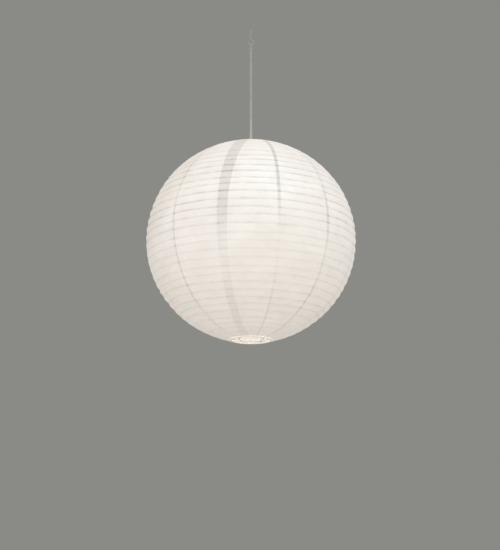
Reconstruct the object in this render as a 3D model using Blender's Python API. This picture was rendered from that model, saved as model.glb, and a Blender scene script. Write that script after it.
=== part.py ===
"""Round paper lantern shade on its flex, with lamp holder, bulb and ceiling hook. Metres, +Z up.

The origin is the point on the ceiling where the hook's thread goes in, and everything hangs below it.
"""

from math import asin, ceil, cos, pi, radians, sin, sqrt

import bmesh
import bpy
from mathutils import Matrix, Vector

# ---- driving dimensions ------------------------------------------------------------------------
GAP = 0.0003  # clearance between pieces that touch

GLOBE_RADIUS = 0.225  # paper globe at its equator, outside
GLOBE_HALF_HEIGHT = 0.219
GLOBE_CENTRE_Z = -0.467  # below the ceiling
PAPER = 0.0004

GORES = 12
GORE_ANGLE = 2 * pi / GORES
FIRST_SEAM = radians(-105.5)  # azimuth of the middle of gore_01's left seam
LAP = 0.006
WIDE_LAP = 0.024  # the closing lap, where gore_12 comes round to gore_01
LAP_TAPER = 0.35  # share of a lap's width that is left where the seams meet at the mouths
GORE_ROWS = 14
SEAM_CLEAR = 0.0006  # between a lap's sheets, along the paper

RING_RADIUS = 0.042  # centre line of both mouth rings
RING_WIRE = 0.001
MOUTH_CLEAR = 0.0005
MOUTH_RADIUS = RING_RADIUS + RING_WIRE + MOUTH_CLEAR  # edge of the paper

RIB_TURNS = 34
RIB_STEPS = 18  # straight lengths in one turn of the rib wire
RIB_HALF = 0.0004
RIB_INSET = 0.0042  # rib wire's bends under the paper's outer face
RIB_END_LATITUDE = radians(76.5)

HUB_RADIUS = 0.0225  # expander's eye around the lamp holder, centre line
HUB_DROP = 0.030  # the eye hangs this far under the top ring
EXPANDER_WIRE = 0.00125
ARM_WIRE = 0.96 * EXPANDER_WIRE
FORK_WIRE = 0.001
ARM_END = 0.0432
LEG_RADIUS = 0.036
PIVOT_RADIUS = 0.031
PIVOT_WIRE = 0.001
PIVOT_HALF_LENGTH = 0.0042
YOKE_DEPTH = 0.0035

HOLDER_RADIUS = 0.0205
HOLDER_WALL = 0.0022
HOLDER_DEPTH = 0.034  # skirt under its flange
FLANGE_RADIUS = 0.0258
FLANGE_THICKNESS = 0.0022
NECK_WALL = HOLDER_WALL - 0.0008
NECK_HEIGHT = 0.004
NUT_HEIGHT = 0.009
NUT_CHAMFER = 0.0014
HOLDER_CAP_RADIUS = 0.0232
HOLDER_CAP_HEIGHT = 0.026
HOLDER_CAP_BORE = 0.0036
GRIP_RADIUS = 0.0062
GRIP_HEIGHT = 0.0075
CARRIER_HEIGHT = 0.0110
CARRIER_SINK = 0.0035  # carrier's underside below the flange's top
CONTACT_WIDTH = 0.0024
SHEET_BRASS = 0.0003
SCREW_HEAD_RADIUS = 0.0022
SCREW_HEAD_HEIGHT = 0.0018
SCREW_SPACING = 0.0136
CONTACT_ROOM = 0.0042  # from the carrier to the bulb's tip
SHELL_WALL = 0.0006
SHELL_DEPTH = 0.0245

CORD_RADIUS = 0.0025
CORD_TUCK = 0.003  # flex inside the top of the holder's cap

THREAD_PITCH = 0.00363
SCREW_CAP_RADIUS = 0.0130
SCREW_CAP_HEIGHT = 0.0215
SCREW_RIDGES = 5
THREAD_DEPTH = 0.0010
TIP_RADIUS = 0.0042
TIP_HEIGHT = 0.0022
INSULATOR_RADIUS = 0.0092
INSULATOR_HEIGHT = 0.0030
HOUSING_RADIUS = 0.0274
HOUSING_HEIGHT = 0.030
BOARD_RADIUS = 0.0215
BOARD_THICKNESS = 0.0016
BULB_RADIUS = 0.030
BULB_WALL = 0.0012
BULB_WAIST = 0.0265

HOOK_WIRE = 0.0017
HOOK_BEND = 0.0058  # bend's centre line
HOOK_CORE = 0.72 * HOOK_WIRE
HOOK_RIDGES = 5
HOOK_PITCH = 0.0031
HOOK_LENGTH = 0.0205  # thread in the ceiling
HOOK_COLLAR_RADIUS = 0.0042
HOOK_COLLAR_THICKNESS = 0.0012
HANGER_TOP_Z = -0.0135
HANGER_LENGTH = 0.0215
SOCKET_RADIUS = 0.0040
EYE_WIRE = 0.0013
EYE_RADIUS = 0.0042  # hanger's eye, centre line

# ---- worked out from them ----------------------------------------------------------------------
RING_OFFSET = GLOBE_HALF_HEIGHT * sqrt(1 - (RING_RADIUS / GLOBE_RADIUS) ** 2)
TOP_RING_Z = GLOBE_CENTRE_Z + RING_OFFSET
BOTTOM_RING_Z = GLOBE_CENTRE_Z - RING_OFFSET
ARM_Z = TOP_RING_Z - RING_WIRE - GAP - EXPANDER_WIRE
HUB_Z = ARM_Z - HUB_DROP
FOOT_Z = BOTTOM_RING_Z + RING_WIRE + GAP + EXPANDER_WIRE
EYE_Z = HANGER_TOP_Z - EYE_WIRE - EYE_RADIUS
HOOK_LOW_Z = EYE_Z + EYE_RADIUS - EYE_WIRE - GAP - HOOK_WIRE  # lowest point of the hook wire's centre line
SOCKET_END_Z = HANGER_TOP_Z - HANGER_LENGTH
CORD_TOP_Z = SOCKET_END_Z - 3 * GAP
COLLAR_TOP_Z = HUB_Z - EXPANDER_WIRE - GAP
FLANGE_Z = HUB_Z + EXPANDER_WIRE + GAP  # underside of the lamp holder's flange
FLANGE_TOP_Z = FLANGE_Z + FLANGE_THICKNESS
HOLDER_BORE = HOLDER_RADIUS - HOLDER_WALL
HOLDER_CAP_BASE_Z = FLANGE_TOP_Z + GAP
HOLDER_CAP_TOP_Z = HOLDER_CAP_BASE_Z + HOLDER_CAP_HEIGHT
CARRIER_Z = FLANGE_TOP_Z - CARRIER_SINK
SHELL_TOP_Z = CARRIER_Z - GAP
TIP_TOP_Z = SHELL_TOP_Z - CONTACT_ROOM

# joint points: each moving piece has its origin on its own joint's axis
HANGER_JOINT = Vector((0, 0, HOOK_LOW_Z))
FLEX_JOINT = Vector((0, 0, CORD_TOP_Z))
SHADE_JOINT = Vector((0, 0, HUB_Z))
LIFT_JOINT = Vector((0, 0, BOTTOM_RING_Z))
BULB_JOINT = Vector((0, 0, TIP_TOP_Z))

# ---- colours -----------------------------------------------------------------------------------
PAPER_WHITE = (0.86, 0.82, 0.77)
RIB_GREY = (0.62, 0.58, 0.54)
ZINC = (0.66, 0.66, 0.67)
NICKEL = (0.72, 0.71, 0.68)
BRASS = (0.72, 0.55, 0.27)
WHITE_PLASTIC = (0.83, 0.82, 0.80)
OPAL = (0.93, 0.92, 0.89)
BLACK_PLASTIC = (0.05, 0.05, 0.05)


def clear_scene():
    for item in list(bpy.data.objects):
        bpy.data.objects.remove(item, do_unlink=True)


def material(name, colour, roughness, metallic=0.0):
    found = bpy.data.materials.new(name)
    found.use_nodes = True
    shader = found.node_tree.nodes["Principled BSDF"]
    shader.inputs["Base Color"].default_value = (*colour, 1.0)
    shader.inputs["Roughness"].default_value = roughness
    shader.inputs["Metallic"].default_value = metallic
    found.diffuse_color = (*colour, 1.0)
    return found


def add_object(name, mesh, finish, smooth_under=35):
    piece = bpy.data.objects.new(name, mesh)
    bpy.context.scene.collection.objects.link(piece)
    mesh.materials.append(finish)
    if smooth_under:
        mesh.shade_smooth()
        mesh.set_sharp_from_angle(angle=radians(smooth_under))
    return piece


def mesh_from(name, form):
    bmesh.ops.recalc_face_normals(form, faces=form.faces)
    mesh = bpy.data.meshes.new(name)
    form.to_mesh(mesh)
    form.free()
    return mesh


def turned(form, profile, segments, centre_x=0.0):
    """A body of revolution about a vertical axis, from a closed profile of (radius, z).
    Points at radius 0 are shared."""
    angles = [2 * pi * i / segments for i in range(segments)]
    rings = []
    for radius, z in profile:
        if radius == 0:
            rings.append([form.verts.new((centre_x, 0, z))])
        else:
            rings.append([form.verts.new((centre_x + radius * cos(a), radius * sin(a), z)) for a in angles])
    for here, after in zip(rings, rings[1:] + rings[:1]):
        if len(here) == 1 and len(after) == 1:
            continue
        for i in range(segments):
            j = (i + 1) % segments
            corners = [
                here[i % len(here)],
                here[j % len(here)],
                after[j % len(after)],
                after[i % len(after)],
            ]
            form.faces.new(list(dict.fromkeys(corners)))


def turned_piece(name, profile, segments, finish, smooth_under=35):
    form = bmesh.new()
    turned(form, profile, segments)
    return add_object(name, mesh_from(name, form), finish, smooth_under)


def origin_at(piece, point):
    """Moves a piece's origin, and not its shape, to a point on its joint's axis."""
    piece.data.transform(Matrix.Translation(-point))
    piece.location = point


def tube(form, path, radius, sides, closed=False, up=Vector((0, 0, 1))):
    """A round bar along a path. Its cross-sections stand square to the path, with up kept steady."""
    count = len(path)
    rings = []
    for i, point in enumerate(path):
        before = path[i - 1] if closed or i > 0 else point
        after = path[(i + 1) % count] if closed or i < count - 1 else point
        along = (after - before).normalized()
        side = along.cross(up)
        if side.length < 0.05:
            side = along.cross(Vector((0, 1, 0)))
        side.normalize()
        over = side.cross(along)
        # a mitre keeps the bar's width through a bend
        stretch = 1.0
        if before is not point and after is not point:
            half = (after - point).angle(point - before) / 2
            stretch = 1 / max(cos(half), 0.5)
        bend = ((after - point).normalized() - (point - before).normalized()) if stretch > 1.001 else None
        ring = []
        for k in range(sides):
            angle = 2 * pi * (k + 0.5) / sides
            offset = radius * (cos(angle) * side + sin(angle) * over)
            if bend is not None and bend.length > 1e-6:
                toward = bend.normalized()
                offset += toward * offset.dot(toward) * (stretch - 1)
            ring.append(form.verts.new(point + offset))
        rings.append(ring)
    pairs = list(zip(rings, rings[1:]))
    if closed:
        pairs.append((rings[-1], rings[0]))
    for here, after in pairs:
        for k in range(sides):
            m = (k + 1) % sides
            form.faces.new((here[k], here[m], after[m], after[k]))
    if not closed:
        form.faces.new(rings[0])
        form.faces.new(rings[-1])


def circle_path(radius, z, segments, start=0.0):
    angles = [start + 2 * pi * i / segments for i in range(segments)]
    return [Vector((radius * cos(a), radius * sin(a), z)) for a in angles]


# ---- paper globe -------------------------------------------------------------------------------
def globe_point(latitude, azimuth, inward=0.0):
    """A point on the globe, or under it. Azimuth 0 is +X, and -90 degrees faces -Y."""
    radius = (GLOBE_RADIUS - inward) * cos(latitude)
    height = (GLOBE_HALF_HEIGHT - inward) * sin(latitude)
    return Vector((radius * cos(azimuth), radius * sin(azimuth), GLOBE_CENTRE_Z + height))


def lap_angle(width, latitude):
    """How far round the axis a lap reaches at a latitude."""
    tapered = width * (LAP_TAPER + (1 - LAP_TAPER) * cos(latitude))
    return min(tapered / (GLOBE_RADIUS * cos(latitude)), 0.6 * GORE_ANGLE)


def gore_stations(index, latitude):
    """Azimuths across one gore at a latitude, each with how far it stands out.
    A seam's azimuth is its lap's middle."""
    left = FIRST_SEAM + index * GORE_ANGLE
    right = left + GORE_ANGLE
    wide_left = index == 0
    wide_right = index == GORES - 1
    clear = SEAM_CLEAR / (GLOBE_RADIUS * cos(latitude))
    under = lap_angle(WIDE_LAP if wide_left else LAP, latitude)
    over = lap_angle(WIDE_LAP if wide_right else LAP, latitude)
    stations = [(left - under / 2 + clear, 0.0)]
    if wide_left:
        stations.append((left, 0.0))
    stations.append((left + under / 2, 0.0))
    start = left + under / 2
    body = right - over / 2 - clear - start
    stations += [(start + body * share, 0.0) for share in (1 / 3, 2 / 3, 1.0)]
    raised = PAPER + GAP
    stations.append((right - over / 2, raised))
    if wide_right:
        stations.append((right, raised))
    stations.append((right + over / 2, raised))
    return stations


def gore(index, finish):
    """One tapered paper gore. Its right edge steps outward and laps over the next gore's left edge."""
    top = asin(sqrt(1 - (MOUTH_RADIUS / GLOBE_RADIUS) ** 2))
    form = bmesh.new()
    outer_rows = []
    inner_rows = []
    for row in range(GORE_ROWS + 1):
        latitude = top * (2 * row / GORE_ROWS - 1)
        stations = gore_stations(index, latitude)
        outer_rows.append([form.verts.new(globe_point(latitude, a, -lift)) for a, lift in stations])
        inner_rows.append([form.verts.new(globe_point(latitude, a, PAPER - lift)) for a, lift in stations])
    last = len(outer_rows[0]) - 1
    for row in range(GORE_ROWS):
        for rows in (outer_rows, inner_rows):
            for column in range(last):
                low = (rows[row][column], rows[row][column + 1])
                high = (rows[row + 1][column + 1], rows[row + 1][column])
                form.faces.new(low + high)
        for column in (0, last):
            outer = (outer_rows[row][column], outer_rows[row + 1][column])
            form.faces.new((*outer, inner_rows[row + 1][column], inner_rows[row][column]))
    for row in (0, GORE_ROWS):
        for column in range(last):
            outer = (outer_rows[row][column], outer_rows[row][column + 1])
            form.faces.new((*outer, inner_rows[row][column + 1], inner_rows[row][column]))
    name = f"gore_{index + 1:02d}"
    return add_object(name, mesh_from(name, form), finish)


def rib_wire(finish):
    """The helix that carries the paper. It runs down towards +X on the side that faces -Y."""
    steps = RIB_TURNS * RIB_STEPS
    path = []
    for i in range(steps + 1):
        share = i / steps
        latitude = RIB_END_LATITUDE * (1 - 2 * share)
        azimuth = -pi / 2 + 2 * pi * RIB_TURNS * share
        path.append(globe_point(latitude, azimuth, RIB_INSET))
    form = bmesh.new()
    tube(form, path, RIB_HALF * sqrt(2), 4)
    return add_object("rib_wire", mesh_from("rib_wire", form), finish)


def mouth_ring(name, z, finish):
    form = bmesh.new()
    tube(form, circle_path(RING_RADIUS, z, 32), RING_WIRE, 6, closed=True)
    return add_object(name, mesh_from(name, form), finish)


# ---- expander ----------------------------------------------------------------------------------
def join_solid(piece, mesh):
    """Adds a closed mesh to a piece as one body with it."""
    joined = bpy.data.objects.new(f"{piece.name}_join", mesh)
    bpy.context.scene.collection.objects.link(joined)
    joined.hide_render = True
    joined.display_type = "WIRE"
    union = piece.modifiers.new("union", "BOOLEAN")
    union.operation = "UNION"
    union.object = joined


def expander_hub(finish):
    """The eye round the lamp holder. Each arm carries a leg's cross pin, then climbs to the top ring."""
    segments = 28
    form = bmesh.new()
    eye = circle_path(HUB_RADIUS, HUB_Z, segments, start=pi / segments)
    tube(form, eye, EXPANDER_WIRE, 6, closed=True)
    hub = add_object("expander_hub", mesh_from("expander_hub", form), finish)
    for side in (-1, 1):
        route = [
            (HUB_RADIUS + 0.0002, HUB_Z),
            (PIVOT_RADIUS + 0.0017, HUB_Z),
            (PIVOT_RADIUS + 0.0035, HUB_Z + 0.0030),
            (PIVOT_RADIUS + 0.0040, ARM_Z - 0.0035),
            (PIVOT_RADIUS + 0.0062, ARM_Z),
            (ARM_END, ARM_Z),
        ]
        arm = bmesh.new()
        tube(arm, [Vector((side * r, 0, z)) for r, z in route], ARM_WIRE, 8, up=Vector((0, 1, 0)))
        join_solid(hub, mesh_from("arm", arm))
        pin = bmesh.new()
        half = Vector((0, PIVOT_HALF_LENGTH, 0))
        middle = Vector((side * PIVOT_RADIUS, 0, HUB_Z))
        tube(pin, [middle - half, middle + half], PIVOT_WIRE, 10)
        join_solid(hub, mesh_from("pin", pin))
    origin_at(hub, SHADE_JOINT)


def expander_leg(name, side, finish):
    """A long sprung wire. Its forked eyes turn on the hub's cross pin, and its foot presses on the
    bottom ring."""
    eye_radius = PIVOT_WIRE + GAP + FORK_WIRE
    spread = EXPANDER_WIRE + 2 * GAP + FORK_WIRE
    pivot = Vector((side * PIVOT_RADIUS, 0, HUB_Z))
    eyes = []
    for cheek in (-1, 1):
        centre = pivot + Vector((0, cheek * spread, 0))
        turns = [radians(-90) + 2 * pi * i / 10 for i in range(10)]
        eye = bmesh.new()
        path = [centre + Vector((eye_radius * cos(a), 0, eye_radius * sin(a))) for a in turns]
        tube(eye, path, FORK_WIRE, 6, closed=True, up=Vector((0, 1, 0)))
        eyes.append(eye)
    leg = add_object(name, mesh_from(name, eyes[0]), finish)
    join_solid(leg, mesh_from("eye", eyes[1]))
    low = -eye_radius
    yoke = [
        (-spread, low),
        (-spread, low - 0.6 * YOKE_DEPTH),
        (0.0, low - YOKE_DEPTH),
        (spread, low - 0.6 * YOKE_DEPTH),
        (spread, low),
    ]
    fork = bmesh.new()
    tube(fork, [pivot + Vector((0, y, z)) for y, z in yoke], FORK_WIRE, 6, up=Vector((1, 0, 0)))
    join_solid(leg, mesh_from("yoke", fork))
    route = [
        (PIVOT_RADIUS, HUB_Z + low - 0.86 * YOKE_DEPTH),
        (PIVOT_RADIUS, HUB_Z - 0.0110),
        (LEG_RADIUS, HUB_Z - 0.0250),
        (LEG_RADIUS, FOOT_Z),
        (ARM_END, FOOT_Z),
    ]
    shank = bmesh.new()
    tube(shank, [Vector((side * r, 0, z)) for r, z in route], EXPANDER_WIRE, 8, up=Vector((0, 1, 0)))
    join_solid(leg, mesh_from("shank", shank))
    origin_at(leg, pivot)


# ---- lamp holder -------------------------------------------------------------------------------
def holder_shell(plastic):
    """The threaded skirt with its flange, the nut that clamps it, and the cap over the terminals."""
    skirt_end = FLANGE_Z - HOLDER_DEPTH
    neck_outer = HOLDER_BORE + NECK_WALL
    neck_top = FLANGE_TOP_Z + NECK_HEIGHT
    body = [
        (HOLDER_BORE, neck_top),
        (HOLDER_BORE, skirt_end),
        (HOLDER_RADIUS, skirt_end),
        (HOLDER_RADIUS, FLANGE_Z),
        (FLANGE_RADIUS, FLANGE_Z),
        (FLANGE_RADIUS, FLANGE_TOP_Z),
        (neck_outer, FLANGE_TOP_Z),
        (neck_outer, neck_top),
    ]
    nut_end = COLLAR_TOP_Z - NUT_HEIGHT
    nut = [
        (HOLDER_RADIUS + GAP, COLLAR_TOP_Z),
        (HOLDER_RADIUS + GAP, nut_end),
        (FLANGE_RADIUS - NUT_CHAMFER, nut_end),
        (FLANGE_RADIUS, nut_end + NUT_CHAMFER),
        (FLANGE_RADIUS, COLLAR_TOP_Z),
    ]
    # the cap as shares of its radius and height: outside going up, then inside coming down
    outside = [(1.0, 0.0), (1.0, 0.23), (0.957, 0.50), (0.767, 0.75), (0.453, 0.923), (0.293, 1.0)]
    inside = [(0.431, 0.692), (0.69, 0.558), (0.841, 0.346)]
    cap = [(HOLDER_CAP_RADIUS * r, HOLDER_CAP_BASE_Z + HOLDER_CAP_HEIGHT * z) for r, z in outside]
    bore_end = HOLDER_CAP_BASE_Z + 0.77 * HOLDER_CAP_HEIGHT
    cap += [(HOLDER_CAP_BORE, HOLDER_CAP_TOP_Z), (HOLDER_CAP_BORE, bore_end)]
    cap += [(HOLDER_CAP_RADIUS * r, HOLDER_CAP_BASE_Z + HOLDER_CAP_HEIGHT * z) for r, z in inside]
    rim_inner = neck_outer + GAP
    rim_end = HOLDER_CAP_BASE_Z + 0.23 * HOLDER_CAP_HEIGHT
    cap += [(rim_inner, rim_end), (rim_inner, HOLDER_CAP_BASE_Z)]
    for name, profile, segments in (
        ("holder_body", body, 28),
        ("holder_collar", nut, 28),
        ("holder_cap", cap, 24),
    ):
        origin_at(turned_piece(name, profile, segments, plastic), FLEX_JOINT)


def holder_inside(plastic, brass, steel):
    """Flex clamp, contact carrier, screw shell, centre contact and the two terminal screws."""
    grip_base = HOLDER_CAP_TOP_Z + GAP
    grip_top = HOLDER_CAP_TOP_Z + GRIP_HEIGHT
    grip_bore = CORD_RADIUS + 0.0004
    grip = [
        (grip_bore, grip_base),
        (GRIP_RADIUS, grip_base),
        (0.9 * GRIP_RADIUS, grip_base + 0.43 * GRIP_HEIGHT),
        (0.71 * GRIP_RADIUS, grip_top),
        (grip_bore, grip_top),
    ]
    carrier_radius = HOLDER_BORE - GAP
    carrier_top = CARRIER_Z + CARRIER_HEIGHT
    carrier = [
        (0.0, CARRIER_Z),
        (carrier_radius, CARRIER_Z),
        (carrier_radius, CARRIER_Z + 0.68 * CARRIER_HEIGHT),
        (0.67 * carrier_radius, carrier_top),
        (0.0, carrier_top),
    ]
    shell_inner = SCREW_CAP_RADIUS + SHELL_WALL
    shell_outer = shell_inner + SHELL_WALL
    shell_flange = HOLDER_BORE - 4 * GAP
    flange_under = SHELL_TOP_Z - 0.001
    shell = [
        (shell_inner, SHELL_TOP_Z - SHELL_DEPTH),
        (shell_outer, SHELL_TOP_Z - SHELL_DEPTH),
        (shell_outer, flange_under),
        (shell_flange, flange_under),
        (shell_flange, SHELL_TOP_Z),
        (shell_inner, SHELL_TOP_Z),
    ]
    for name, profile, segments, finish in (
        ("holder_cord_grip", grip, 20, plastic),
        ("holder_insert", carrier, 24, plastic),
        ("holder_screw_shell", shell, 24, brass),
    ):
        origin_at(turned_piece(name, profile, segments, finish), FLEX_JOINT)

    contact = bmesh.new()
    seat_z = SHELL_TOP_Z - 0.0004
    tip_z = SHELL_TOP_Z - 0.0030
    spring = [
        Vector((-0.0065, 0, seat_z)),
        Vector((-0.0030, 0, seat_z - 0.0002)),
        Vector((0.0030, 0, tip_z)),
        Vector((0.0060, 0, tip_z)),
    ]
    strip(contact, spring, CONTACT_WIDTH, SHEET_BRASS)
    spring_contact = add_object("holder_contact", mesh_from("holder_contact", contact), brass, 0)
    origin_at(spring_contact, FLEX_JOINT)

    head_z = carrier_top + GAP
    head = [
        (0.0, head_z),
        (SCREW_HEAD_RADIUS, head_z),
        (SCREW_HEAD_RADIUS, head_z + SCREW_HEAD_HEIGHT * 2 / 3),
        (0.82 * SCREW_HEAD_RADIUS, head_z + SCREW_HEAD_HEIGHT),
        (0.0, head_z + SCREW_HEAD_HEIGHT),
    ]
    for name, side in (("holder_screw_left", -1), ("holder_screw_right", 1)):
        screw = bmesh.new()
        turned(screw, head, 12, centre_x=side * SCREW_SPACING / 2)
        origin_at(add_object(name, mesh_from(name, screw), steel), FLEX_JOINT)


def strip(form, path, width, thickness):
    """A flat bar along a path in the XZ plane."""
    rows = []
    for i, point in enumerate(path):
        before = path[max(i - 1, 0)]
        after = path[min(i + 1, len(path) - 1)]
        along = (after - before).normalized()
        over = Vector((-along.z, 0, along.x)) * thickness / 2
        across = Vector((0, width / 2, 0))
        corners = ((-1, -1), (1, -1), (1, 1), (-1, 1))
        rows.append([form.verts.new(point + s * across + t * over) for s, t in corners])
    for here, after in zip(rows, rows[1:]):
        for k in range(4):
            m = (k + 1) % 4
            form.faces.new((here[k], here[m], after[m], after[k]))
    form.faces.new(rows[0])
    form.faces.new(rows[-1])


# ---- bulb --------------------------------------------------------------------------------------
def bulb(opal, plastic, metal, black):
    """An LED bulb, from the top down: contact tip, insulator, screw cap, housing, board and diffuser."""
    tip_end = TIP_TOP_Z - TIP_HEIGHT
    tip = [
        (0.0, tip_end),
        (TIP_RADIUS, tip_end),
        (TIP_RADIUS, TIP_TOP_Z - 0.36 * TIP_HEIGHT),
        (0.62 * TIP_RADIUS, TIP_TOP_Z),
        (0.0, TIP_TOP_Z),
    ]
    insulator_top = tip_end - GAP
    insulator_end = insulator_top - INSULATOR_HEIGHT
    insulator = [
        (0.0, insulator_end),
        (INSULATOR_RADIUS, insulator_end),
        (0.65 * INSULATOR_RADIUS, insulator_top),
        (0.0, insulator_top),
    ]
    cap_top = insulator_end - GAP
    cap_end = cap_top - SCREW_CAP_HEIGHT
    root = SCREW_CAP_RADIUS - THREAD_DEPTH
    cap = [(0.0, cap_end), (SCREW_CAP_RADIUS - 0.4 * THREAD_DEPTH, cap_end)]
    for ridge in range(SCREW_RIDGES):
        z = cap_end + 0.0015 + ridge * THREAD_PITCH
        cap += [(root, z), (SCREW_CAP_RADIUS, z + THREAD_PITCH / 2)]
    cap += [(root, cap_top - 0.0008), (root - 0.0020, cap_top), (0.0, cap_top)]

    housing_top = cap_end - GAP
    housing_end = housing_top - HOUSING_HEIGHT
    flare = [(0.985, 0.0), (1.0, 0.067), (0.82, 0.433), (0.60, 0.80), (0.52, 1.0)]
    housing = [(HOUSING_RADIUS * r, housing_end + HOUSING_HEIGHT * z) for r, z in flare]
    housing = [(0.0, housing_end), *housing, (0.0, housing_top)]
    board_top = housing_end - GAP
    board_end = board_top - BOARD_THICKNESS
    board = [(0.0, board_end), (BOARD_RADIUS, board_end), (BOARD_RADIUS, board_top), (0.0, board_top)]

    bore = BULB_RADIUS - BULB_WALL
    centre_z = board_top - sqrt(BULB_RADIUS**2 - BULB_WAIST**2)
    outer = arc_profile(BULB_RADIUS, asin(BULB_WAIST / BULB_RADIUS), centre_z)
    inner = arc_profile(bore, asin((BULB_WAIST - BULB_WALL) / bore), centre_z)
    for name, profile, segments, finish, smooth_under in (
        ("bulb_tip", tip, 16, metal, 35),
        ("bulb_insulator", insulator, 20, black, 35),
        ("bulb_cap", cap, 20, metal, 60),
        ("bulb_housing", housing, 28, plastic, 35),
        ("bulb_led_board", board, 24, black, 35),
        ("bulb_globe", outer + inner[::-1], 24, opal, 35),
    ):
        origin_at(turned_piece(name, profile, segments, finish, smooth_under), BULB_JOINT)


def arc_profile(radius, start, centre_z, rows=8):
    """Points down a sphere's side, from a polar angle to its lowest point."""
    profile = []
    for row in range(rows):
        polar = start + (pi - start) * row / rows
        profile.append((radius * sin(polar), centre_z + radius * cos(polar)))
    profile.append((0.0, centre_z - radius))
    return profile


# ---- flex and ceiling hook ---------------------------------------------------------------------
def cord(top_z, end_z, finish):
    """The round flex, straight under its load."""
    curve = bpy.data.curves.new("cord", "CURVE")
    curve.dimensions = "3D"
    curve.bevel_depth = CORD_RADIUS
    curve.bevel_resolution = 2
    curve.use_fill_caps = True
    spacing = 3 * 2 * CORD_RADIUS
    count = ceil((top_z - end_z) / spacing) + 1
    spline = curve.splines.new("POLY")
    spline.points.add(count - 1)
    for i, point in enumerate(spline.points):
        point.co = (0, 0, top_z + (end_z - top_z) * i / (count - 1), 1)
    piece = bpy.data.objects.new("cord", curve)
    bpy.context.scene.collection.objects.link(piece)
    curve.materials.append(finish)
    origin_at(piece, FLEX_JOINT)


def cord_hanger(finish):
    """A moulded eye with a tapered socket under it that grips the flex."""
    form = bmesh.new()
    centre = Vector((0, 0, EYE_Z))
    turns = [pi / 2 + 2 * pi * i / 14 for i in range(14)]
    eye = [centre + Vector((0, EYE_RADIUS * cos(a), EYE_RADIUS * sin(a))) for a in turns]
    tube(form, eye, EYE_WIRE, 6, closed=True, up=Vector((1, 0, 0)))
    hanger = add_object("cord_hanger", mesh_from("cord_hanger", form), finish)
    neck_z = EYE_Z - EYE_RADIUS
    profile = [
        (0.0, neck_z + 0.0006),
        (0.55 * SOCKET_RADIUS, neck_z + 0.0006),
        (0.90 * SOCKET_RADIUS, neck_z - 0.0025),
        (SOCKET_RADIUS, SOCKET_END_Z + 0.0015),
        (0.85 * SOCKET_RADIUS, SOCKET_END_Z),
        (0.0, SOCKET_END_Z),
    ]
    socket = bmesh.new()
    turned(socket, profile, 20)
    join_solid(hanger, mesh_from("socket", socket))
    origin_at(hanger, HANGER_JOINT)


def ceiling_hook(finish):
    """A screw hook: pointed thread above the ceiling, a collar against it, and an open bend below."""
    first_root_z = HOOK_COLLAR_THICKNESS
    profile = [
        (0.0, -HOOK_COLLAR_THICKNESS),
        (HOOK_COLLAR_RADIUS, -HOOK_COLLAR_THICKNESS),
        (HOOK_COLLAR_RADIUS, 0.0),
        (HOOK_WIRE, 0.0),
    ]
    for ridge in range(HOOK_RIDGES):
        z = first_root_z + ridge * HOOK_PITCH
        profile += [(HOOK_CORE, z), (HOOK_WIRE, z + HOOK_PITCH / 2)]
    profile += [(HOOK_CORE, first_root_z + HOOK_RIDGES * HOOK_PITCH), (0.0, HOOK_LENGTH)]
    form = bmesh.new()
    turned(form, profile, 12)
    hook = add_object("ceiling_hook", mesh_from("ceiling_hook", form), finish, 50)
    centre = Vector((0, 0, HOOK_LOW_Z + HOOK_BEND))
    start = radians(80)
    sweep = radians(280)
    turns = [start - sweep * i / 15 for i in range(16)]
    arc = [centre + Vector((HOOK_BEND * cos(a), 0, HOOK_BEND * sin(a))) for a in turns]
    shank_top = Vector((0, 0, -HOOK_COLLAR_THICKNESS / 2))
    bend = bmesh.new()
    tube(bend, [shank_top, *arc], HOOK_WIRE, 6, up=Vector((0, 1, 0)))
    join_solid(hook, mesh_from("bend", bend))


def build():
    clear_scene()
    paper = material("paper", PAPER_WHITE, 0.9)
    rib = material("rib", RIB_GREY, 0.6)
    steel = material("steel", ZINC, 0.35, 0.9)
    nickel = material("nickel", NICKEL, 0.3, 1.0)
    brass = material("brass", BRASS, 0.35, 1.0)
    plastic = material("plastic", WHITE_PLASTIC, 0.4)
    flex = material("flex", WHITE_PLASTIC, 0.5)
    opal = material("opal", OPAL, 0.35)
    black = material("black", BLACK_PLASTIC, 0.4)
    hook_paint = material("hook_paint", WHITE_PLASTIC, 0.3)

    for index in range(GORES):
        gore(index, paper)
    rib_wire(rib)
    mouth_ring("top_ring", TOP_RING_Z, steel)
    origin_at(mouth_ring("bottom_ring", BOTTOM_RING_Z, steel), LIFT_JOINT)
    expander_hub(steel)
    expander_leg("expander_leg_left", -1, steel)
    expander_leg("expander_leg_right", 1, steel)
    holder_shell(plastic)
    holder_inside(plastic, brass, steel)
    bulb(opal, plastic, nickel, black)
    cord(CORD_TOP_Z, HOLDER_CAP_TOP_Z - CORD_TUCK, flex)
    cord_hanger(plastic)
    ceiling_hook(hook_paint)


build()
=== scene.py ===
"""Looks of the round paper lantern shade: lit paper gores over a wire helix, on a white flex.
Metres, +Z up."""

from math import asin, cos, floor, pi, radians, sin, sqrt

import bmesh
import bpy
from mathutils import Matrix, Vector, noise


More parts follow.
